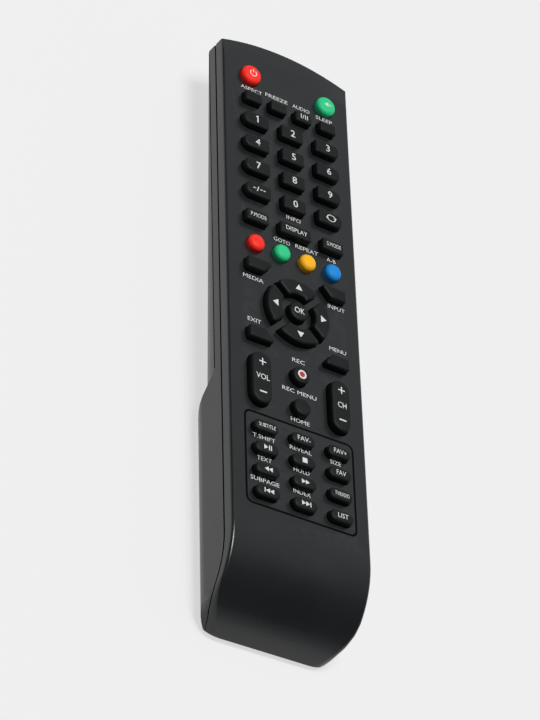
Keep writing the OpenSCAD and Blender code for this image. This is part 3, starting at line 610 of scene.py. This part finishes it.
def make_keys():
    caps = {}
    tops = {}
    pad = cap_box("ok_key", COLLAR_GROW)
    pad_middle = ((pad[0] + pad[1]) / 2).to_2d()
    for node in [*ROUND_KEYS, *OVAL_KEYS, *ARROW_KEYS, *BOX_KEYS, *AROUND_KEYS]:
        low, high = cap_box(node, COLLAR_GROW)
        middle = ((low + high) / 2).to_2d()
        size = (high - low).to_2d()
        material = KEY_BLACK
        if node in ROUND_KEYS:
            material = KEY_COLOURS.get(ROUND_KEYS[node], KEY_BLACK)
            outline = partial(round_outline, middle, size.x)
        elif node in OVAL_KEYS:
            outline = partial(oval_outline, middle, size)
        elif node in ARROW_KEYS:
            outline = partial(sector_outline, pad_middle, ARROW_KEYS[node])
        elif node in AROUND_KEYS:
            corners = cut_corners(low, high, AROUND_KEYS[node])
            outline = partial(corner_outline, corners, [KEY_CORNER] * len(corners))
        else:
            left = DIGIT_END if node in LEFT_DIGITS else KEY_CORNER
            right = DIGIT_END if node in RIGHT_DIGITS else KEY_CORNER
            corners = box_corners(low, high)
            outline = partial(corner_outline, corners, [left, right, right, left])
        tops[node] = (middle, high.z)
        crown = CROWN if material == KEY_BLACK else COLOUR_CROWN
        caps[node] = key_piece(node, outline, high.z - TOP_CLEAR, crown, material)
    for node in ROCKERS:
        low, high = cap_box(node, ROCKER_COLLAR_GROW)
        middle = ((low + high) / 2).to_2d()
        size = (high - low).to_2d()
        outline = partial(oval_outline, middle, size)
        tops[node] = (middle, high.z)
        caps[node] = rocker_piece(node, outline, high.z - TOP_CLEAR, KEY_BLACK)
    for node, cap in caps.items():
        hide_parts(node)
        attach(cap, node)
    return tops


# Printed marks
STRIP_STEPS = 28
FONT_STEPS = 3
WORD_MERGE = 1e-5


def bar(x0, y0, x1, y1, width):
    ahead = Vector((x1 - x0, y1 - y0)).normalized() * width / 2
    beside = Vector((-ahead.y, ahead.x))
    a, b = Vector((x0, y0)), Vector((x1, y1))
    return [a - beside, b - beside, b + beside, a + beside]


def strip(radius, width, start, end):
    """Part of a ring, as one outline."""
    origin = Vector((0, 0))
    outer = arc(origin, radius + width / 2, start, end, STRIP_STEPS)
    return outer + arc(origin, radius - width / 2, end, start, STRIP_STEPS)


def shape(*numbers):
    return [Vector(numbers[i:i + 2]) for i in range(0, len(numbers), 2)]


def triangle(x, size, way):
    return shape(x - way * size / 2, -size / 1.6, x + way * size / 2, 0, x - way * size / 2, size / 1.6)


# Signs, drawn around the origin; each is scaled later to the width and height that its mark asks for.
ICONS = {
    "power": [strip(1.0, 0.3, 130, 410), bar(0, 0.25, 0, 1.3, 0.3)],
    "mute": [
        shape(-1.2, -0.4, -0.65, -0.4, 0.1, -1.0, 0.1, 1.0, -0.65, 0.4, -1.2, 0.4),
        bar(0.45, -0.45, 1.2, 0.45, 0.22),
        bar(0.45, 0.45, 1.2, -0.45, 0.22),
    ],
    "recall": [
        strip(1.0, 0.22, 20, 165),
        strip(1.0, 0.22, 200, 345),
        shape(0.6, 0.35, 1.35, 0.35, 0.97, -0.3),
        shape(-0.6, -0.35, -1.35, -0.35, -0.97, 0.3),
    ],
    "up": [shape(-1, -0.8, 1, -0.8, 0, 0.9)],
    "down": [shape(-1, 0.8, 0, -0.9, 1, 0.8)],
    "left": [shape(0.8, -1, 0.8, 1, -0.9, 0)],
    "right": [shape(-0.8, 1, -0.8, -1, 0.9, 0)],
    "ring": [strip(1.0, 0.5, 0, 359.9)],
    "one": [shape(-0.3, 0.42, -0.3, 0.72, 0.1, 1.0, 0.34, 1.0, 0.34, -1.0, 0.0, -1.0, 0.0, 0.62)],
    "dot": [arc(Vector((0, 0)), 1.0, 0, 350, 35)],
    "play_pause": [
        triangle(-0.9, 1.3, 1),
        bar(0.25, -0.8, 0.25, 0.8, 0.36),
        bar(0.95, -0.8, 0.95, 0.8, 0.36),
    ],
    "stop": [shape(-1, -1, 1, -1, 1, 1, -1, 1)],
    "rewind": [triangle(-0.6, 1.2, -1), triangle(0.6, 1.2, -1)],
    "forward": [triangle(-0.6, 1.2, 1), triangle(0.6, 1.2, 1)],
    "previous": [bar(-1.5, -0.75, -1.5, 0.75, 0.3), triangle(-0.65, 1.2, -1), triangle(0.6, 1.2, -1)],
    "next": [triangle(-0.6, 1.2, 1), triangle(0.65, 1.2, 1), bar(1.5, -0.75, 1.5, 0.75, 0.3)],
    "dashes": [
        bar(-1.5, 0, -0.8, 0, 0.25),
        bar(-0.5, -0.75, -0.05, 0.75, 0.22),
        bar(0.3, 0, 0.85, 0, 0.25),
        bar(1.1, 0, 1.65, 0, 0.25),
    ],
    "plus": [
        shape(
            -1, -0.16, -0.16, -0.16, -0.16, -1, 0.16, -1, 0.16, -0.16, 1, -0.16,
            1, 0.16, 0.16, 0.16, 0.16, 1, -0.16, 1, -0.16, 0.16, -1, 0.16,
        ),
    ],
    "minus": [shape(-1, -0.16, 1, -0.16, 1, 0.16, -1, 0.16)],
}


def text_outline(words, height):
    """Flat mesh of a word in the built-in face, around the origin; large words get bolder strokes."""
    curve = bpy.data.curves.new("word", "FONT")
    curve.body = words
    curve.resolution_u = FONT_STEPS
    curve.offset = BOLD_STROKE if height >= BOLD_FROM else 0.0
    carrier = bpy.data.objects.new("word", curve)
    bpy.context.scene.collection.objects.link(carrier)
    graph = bpy.context.evaluated_depsgraph_get()
    mesh = bpy.data.meshes.new_from_object(carrier.evaluated_get(graph))
    bpy.data.objects.remove(carrier)
    bpy.data.curves.remove(curve)
    return mesh


def flat_mark(kind, value, height):
    """A word or icon as a flat bmesh."""
    bm = bmesh.new()
    if kind == "word":
        mesh = text_outline(value, height)
        bm.from_mesh(mesh)
        bpy.data.meshes.remove(mesh)
        bmesh.ops.remove_doubles(bm, verts=bm.verts, dist=WORD_MERGE)
    else:
        for points in ICONS[value]:
            bm.faces.new([bm.verts.new((p.x, p.y, 0)) for p in points])
    return bm


def place_mark(target, mark, middle, z, stretch=1.0):
    """Adds one mark to a mesh: scaled to its width and height, placed, and given the ink's thickness."""
    kind, value, dx, dy, width, height = mark
    bm = flat_mark(kind, value, height)
    xs = [v.co.x for v in bm.verts]
    ys = [v.co.y for v in bm.verts]
    scale_y = height / (max(ys) - min(ys))
    scale_x = width / (max(xs) - min(xs)) if width else scale_y * stretch
    mid_x, mid_y = (max(xs) + min(xs)) / 2, (max(ys) + min(ys)) / 2
    for v in bm.verts:
        v.co.x = ((v.co.x - mid_x) * scale_x + middle.x + dx) * MM
        v.co.y = ((v.co.y - mid_y) * scale_y + middle.y + dy) * MM
        v.co.z = (z - INK_SUNK) * MM
    grown = bmesh.ops.extrude_face_region(bm, geom=bm.faces[:])["geom"]
    for v in grown:
        if isinstance(v, bmesh.types.BMVert):
            v.co.z += INK * MM
    mesh = bpy.data.meshes.new("mark")
    bmesh.ops.recalc_face_normals(bm, faces=bm.faces)
    bm.to_mesh(mesh)
    bm.free()
    target.from_mesh(mesh)
    bpy.data.meshes.remove(mesh)


DIGIT = 2.7
ROCKER_SIGN = 2.5
ROCKER_SIGN_AWAY = 5.4
MINUS_HEIGHT = 0.5


def rocker_marks(word, width):
    return [
        ("icon", "plus", 0, ROCKER_SIGN_AWAY, ROCKER_SIGN, ROCKER_SIGN),
        ("word", word, 0, 0, width, 2.0),
        ("icon", "minus", 0, -ROCKER_SIGN_AWAY, ROCKER_SIGN, MINUS_HEIGHT),
    ]


# Each mark: its kind, what it shows, its shift along X and Y, its width and its height, in millimetres.
# A width of 0 keeps the mark's own proportions.
KEY_MARKS = {
    "power_key": [("icon", "power", 0, 0, 2.7, 2.9)],
    "mute_key": [("icon", "mute", 0.1, -0.1, 2.5, 2.0)],
    "audio_key": [("word", "I/II", 0, 0, 2.7, 1.8)],
    "dash_key": [("icon", "dashes", 0, 0, 4.6, 2.0)],
    "recall_key": [("icon", "recall", 0, 0, 4.2, 2.6)],
    "picture_mode_key": [("word", "P.MODE", 0, 0, 5.8, 1.5)],
    "display_key": [("word", "DISPLAY", 0, 0, 8.0, 1.6)],
    "sound_mode_key": [("word", "S.MODE", 0, 0, 5.4, 1.5)],
    "up_key": [("icon", "up", 0, 0, 2.5, 2.0)],
    "down_key": [("icon", "down", 0, 0, 2.5, 2.0)],
    "left_key": [("icon", "left", 0, 0, 2.0, 2.5)],
    "right_key": [("icon", "right", 0, 0, 2.0, 2.5)],
    "ok_key": [("word", "OK", 0, 0, 3.8, 2.2)],
    "record_key": [("icon", "ring", 0, 0, 3.1, 3.1)],
    "volume_rocker": rocker_marks("VOL", 4.8),
    "channel_rocker": rocker_marks("CH", 3.2),
    "subtitle_key": [("word", "SUBTITLE", 0, 0, 5.9, 1.3)],
    "fav_minus_key": [("word", "FAV-", 0, 0, 4.6, 1.6)],
    "fav_plus_key": [("word", "FAV+", 0, 0, 4.6, 1.6)],
    "play_pause_key": [("icon", "play_pause", 0, 0, 2.7, 1.7)],
    "stop_key": [("icon", "stop", 0, 0, 1.7, 1.7)],
    "fav_key": [("word", "FAV", 0, 0, 3.4, 1.6)],
    "rewind_key": [("icon", "rewind", 0, 0, 2.8, 1.6)],
    "forward_key": [("icon", "forward", 0, 0, 2.8, 1.6)],
    "tv_radio_key": [("word", "TV/RADIO", 0, 0, 5.2, 1.4)],
    "previous_key": [("icon", "previous", 0, 0, 3.3, 1.6)],
    "next_key": [("icon", "next", 0, 0, 3.3, 1.6)],
    "list_key": [("word", "LIST", 0, 0, 3.7, 1.6)],
}
for digit in "1234567890":
    KEY_MARKS[f"digit_{digit}_key"] = [("word", digit, 0, 0, 0, DIGIT)]
KEY_MARKS["digit_1_key"] = [("icon", "one", 0, 0, 0, DIGIT)]

RECORD_DOT = ("icon", "dot", 0, 0, 1.7, 1.7)

# Each label on the face: words, place, and how much wider than its font it is set.
LABEL = 1.4
FACE_LABELS = [
    ("ASPECT", -13.8, 84.9, 1.2),
    ("FREEZE", -4.1, 85.6, 1.35),
    ("AUDIO", 5.5, 85.6, 1.06),
    ("SLEEP", 14.6, 85.0, 1.35),
    ("INFO", 0.9, 38.4, 1.24),
    ("GOTO", -3.9, 27.9, 1.06),
    ("REPEAT", 5.5, 28.2, 1.28),
    ("A-B", 14.8, 27.8, 1.12),
    ("MEDIA", -15.1, 9.2, 1.27),
    ("INPUT", 15.9, 9.6, 1.14),
    ("EXIT", -15.1, -6.6, 1.2),
    ("MENU", 15.7, -6.4, 1.18),
    ("REC", 0.7, -15.9, 1.36),
    ("REC MENU", 0.6, -27.5, 1.32),
    ("HOME", 0.5, -37.8, 1.24),
    ("T.SHIFT", -12.8, -48.2, 1.21),
    ("REVEAL", 0.3, -48.0, 1.18),
    ("SIZE", 12.9, -48.2, 1.1),
    ("TEXT", -12.9, -55.7, 1.05),
    ("HOLD", 0.3, -55.4, 1.07),
    ("SUBPAGE", -12.9, -63.2, 1.24),
    ("INDEX", 0.2, -62.9, 1.04),
]


def make_marks(tops):
    for node, marks in KEY_MARKS.items():
        middle, z = tops[node]
        if node in ARROW_KEYS:
            middle = tops["ok_key"][0] + direction(ARROW_KEYS[node]) * (PAD_RADIUS + PAD_INNER) / 2
        bm = bmesh.new()
        for mark in marks:
            place_mark(bm, mark, middle, z - TOP_CLEAR)
        print_piece = add_object(node.replace("_key", "") + "_mark", bm, INK_WHITE)
        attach(print_piece, node)
    bm = bmesh.new()
    middle, z = tops["record_key"]
    place_mark(bm, RECORD_DOT, middle, z - TOP_CLEAR)
    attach(add_object("record_dot", bm, INK_RED), "record_key")
    bm = bmesh.new()
    for words, x, y, stretch in FACE_LABELS:
        place_mark(bm, ("word", words, 0, 0, 0, LABEL), Vector((x, y)), FACE_Z, stretch)
    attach(add_object("face_print", bm, INK_WHITE), "case")


# Framed field, and the width and depth of the groove around it, with the height of the sheet of painted
# shade laid in it.
FIELD_MIDDLE = Vector((0, -56.0))
FIELD_SIZE = (38.8, 31.7)
FIELD_CORNER = 2.0
GROOVE = 0.6
GROOVE_DEPTH = 0.4
GROOVE_FLOOR = FACE_Z - GROOVE_DEPTH
GROOVE_FILL = 0.34


def make_groove_painted_shade():
    """Painted shade: a dark sheet laid in the groove around the oval keys, standing in for the groove's
    shadow.
    """
    half = Vector(FIELD_SIZE) / 2
    corners = box_corners(FIELD_MIDDLE - half, FIELD_MIDDLE + half)
    radii = [FIELD_CORNER] * len(corners)
    outer = corner_outline(corners, radii, -GROOVE / 2)
    inner = corner_outline(corners, radii, GROOVE / 2)
    bm = bmesh.new()
    rows = []
    for points, z in ((outer, 0.0), (inner, 0.0), (inner, GROOVE_FILL), (outer, GROOVE_FILL)):
        rows.append([bm.verts.new((p.x * MM, p.y * MM, (GROOVE_FLOOR + z) * MM)) for p in points])
    count = len(outer)
    for a, b in zip(rows, rows[1:] + rows[:1]):
        for i in range(count):
            k = (i + 1) % count
            bm.faces.new((a[i], a[k], b[k], b[i]))
    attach(add_object("groove_painted_shade", bm, GROOVE_PAINTED_SHADE), "case")


# The shells and what they hold keep their solids, with softened edges
SAME_CORNER = 2e-6
FLAT_WITHIN = math.radians(0.4)
SHARP_FROM = math.radians(35)
EDGE_SEGMENTS = 2


def soften(node, width, material):
    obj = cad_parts[node]
    obj.data.materials.clear()
    obj.data.materials.append(material)
    obj.data.polygons.foreach_set("use_smooth", [True] * len(obj.data.polygons))
    join = obj.modifiers.new("join_corners", "WELD")
    join.merge_threshold = SAME_CORNER
    flat = obj.modifiers.new("merge_flats", "DECIMATE")
    flat.decimate_type = "DISSOLVE"
    flat.angle_limit = FLAT_WITHIN
    if width:
        edge = obj.modifiers.new("soft_edges", "BEVEL")
        edge.width = width * MM
        edge.segments = EDGE_SEGMENTS
        edge.limit_method = "ANGLE"
        edge.angle_limit = SHARP_FROM
    even = obj.modifiers.new("even_shading", "WEIGHTED_NORMAL")
    even.keep_sharp = True


# Width of each one's softened edges, in millimetres, and its finish.
SHELLS = {
    "top_case": (0.12, CASE),
    "bottom_case": (0.12, CASE),
    "battery_cover": (0.12, CASE),
    "keypad_mat": (0, MAT),
    "circuit_board": (0, BOARD),
    "board_components": (0.1, COMPONENT),
    "ir_emitter": (0, EMITTER),
    "battery_springs": (0, NICKEL),
    "battery_plates": (0.05, NICKEL),
    "aaa_cells": (0.15, JACKET),
}


# Stage

# Floor: half its width in metres, its own light, its grey, and its clearance below the remote.
FLOOR_HALF = 4.0
FLOOR_GLOW = 0.645
FLOOR_GREY = 0.18
FLOOR_CLOUDS = 3.0
FLOOR_CLOUD_SHADE = 1.02
FLOOR_CLEAR = 0.02


def backdrop_material():
    """Pale table top that also glows by itself, and is clear when seen from below."""
    material = bpy.data.materials.new("pale_backdrop")
    material.use_nodes = True
    tree = material.node_tree
    shader = tree.nodes["Principled BSDF"]
    cloudy = add_noise(tree, object_coords(tree), FLOOR_CLOUDS, detail=2.0)
    grey = (FLOOR_GREY,) * 3
    base = mix_colour(tree, cloudy, grey, shaded(grey, FLOOR_CLOUD_SHADE))
    tree.links.new(base, shader.inputs["Base Color"])
    shader.inputs["Roughness"].default_value = 0.9
    shader.inputs["Specular IOR Level"].default_value = 0.0
    shader.inputs["Emission Color"].default_value = (1, 1, 1, 1)
    shader.inputs["Emission Strength"].default_value = FLOOR_GLOW
    clear = tree.nodes.new("ShaderNodeBsdfTransparent")
    choose = tree.nodes.new("ShaderNodeMixShader")
    tree.links.new(tree.nodes.new("ShaderNodeNewGeometry").outputs["Backfacing"], choose.inputs["Fac"])
    tree.links.new(shader.outputs["BSDF"], choose.inputs[1])
    tree.links.new(clear.outputs["BSDF"], choose.inputs[2])
    tree.links.new(choose.outputs["Shader"], tree.nodes["Material Output"].inputs["Surface"])
    return material


# Room: the walls' light from the floor up to where they fade, and the window's light towards its side.
WALL_FADE = (0.0, 0.25)
WALL_LIGHT = (0.6, 0.04)
WINDOW_SIDE = (0.64, 0.77)
WINDOW_SPAN = (0.1, 0.74)
WINDOW_LIGHT = 0.46
ROOM_TINT = (0.93, 1.0, 1.03, 1)


def studio_world():
    """White walls that fade towards a dark ceiling, with a soft window on the far right."""
    world = bpy.data.worlds.new("studio")
    world.use_nodes = True
    tree = world.node_tree
    split = tree.nodes.new("ShaderNodeSeparateXYZ")
    tree.links.new(tree.nodes.new("ShaderNodeTexCoord").outputs["Generated"], split.inputs[0])
    walls = add_range(tree, split.outputs["Z"], *WALL_FADE, *WALL_LIGHT)
    across = add_math(tree, "MULTIPLY", split.outputs["X"], WINDOW_SIDE[0])
    ahead = add_math(tree, "MULTIPLY", split.outputs["Y"], WINDOW_SIDE[1])
    far_side = add_range(tree, add_math(tree, "ADD", across, ahead), *WINDOW_SPAN, 0.0, WINDOW_LIGHT)
    background = tree.nodes["Background"]
    background.inputs["Color"].default_value = ROOM_TINT
    tree.links.new(add_math(tree, "ADD", walls, far_side), background.inputs["Strength"])
    return world


def add_light(name, place, target, size, power):
    light = bpy.data.lights.new(name, "AREA")
    light.shape = "RECTANGLE"
    light.size, light.size_y = size
    light.energy = power
    obj = bpy.data.objects.new(name, light)
    obj.location = place
    obj.rotation_mode = "QUATERNION"
    obj.rotation_quaternion = (Vector(target) - Vector(place)).to_track_quat("-Z", "Y")
    bpy.context.scene.collection.objects.link(obj)


# Softbox over the remote: its place and size in metres, and its power in watts.
SOFTBOX_PLACE = (-0.2, 0.05, 2.2)
SOFTBOX_SIZE = (0.9, 0.9)
SOFTBOX_POWER = 54.0

# Camera at the photograph's viewing angle, in metres; lens and sensor in millimetres.
CAMERA_PLACE = Vector((-0.3959, -0.4858, 0.5692))
CAMERA_RIGHT = Vector((0.8265, -0.0252, 0.5625))
CAMERA_AHEAD = Vector((0.4735, 0.5721, -0.6701))
CAMERA_LENS = 136.2
CAMERA_SENSOR = 36.0


def make_stage():
    bm = bmesh.new()
    bmesh.ops.create_grid(bm, x_segments=2, y_segments=2, size=FLOOR_HALF)
    floor = add_object("floor", bm, backdrop_material())
    floor.location.z = -FLOOR_CLEAR * MM
    add_light("overhead_softbox", SOFTBOX_PLACE, (0, 0, 0), SOFTBOX_SIZE, SOFTBOX_POWER)
    scene = bpy.context.scene
    scene.world = studio_world()
    scene.view_settings.view_transform = "Standard"
    camera = bpy.data.objects.new("camera", bpy.data.cameras.new("camera"))
    camera.data.sensor_width = CAMERA_SENSOR
    camera.data.lens = CAMERA_LENS
    ahead = CAMERA_AHEAD.normalized()
    right = (CAMERA_RIGHT - ahead * CAMERA_RIGHT.dot(ahead)).normalized()
    up = right.cross(ahead)
    turn = Matrix((right, up, -ahead)).transposed()
    camera.matrix_world = Matrix.Translation(CAMERA_PLACE) @ turn.to_4x4()
    scene.collection.objects.link(camera)
    scene.camera = camera


key_tops = make_keys()
make_marks(key_tops)
make_groove_painted_shade()
for shell, (edge_width, finish) in SHELLS.items():
    soften(shell, edge_width, finish)
make_stage()
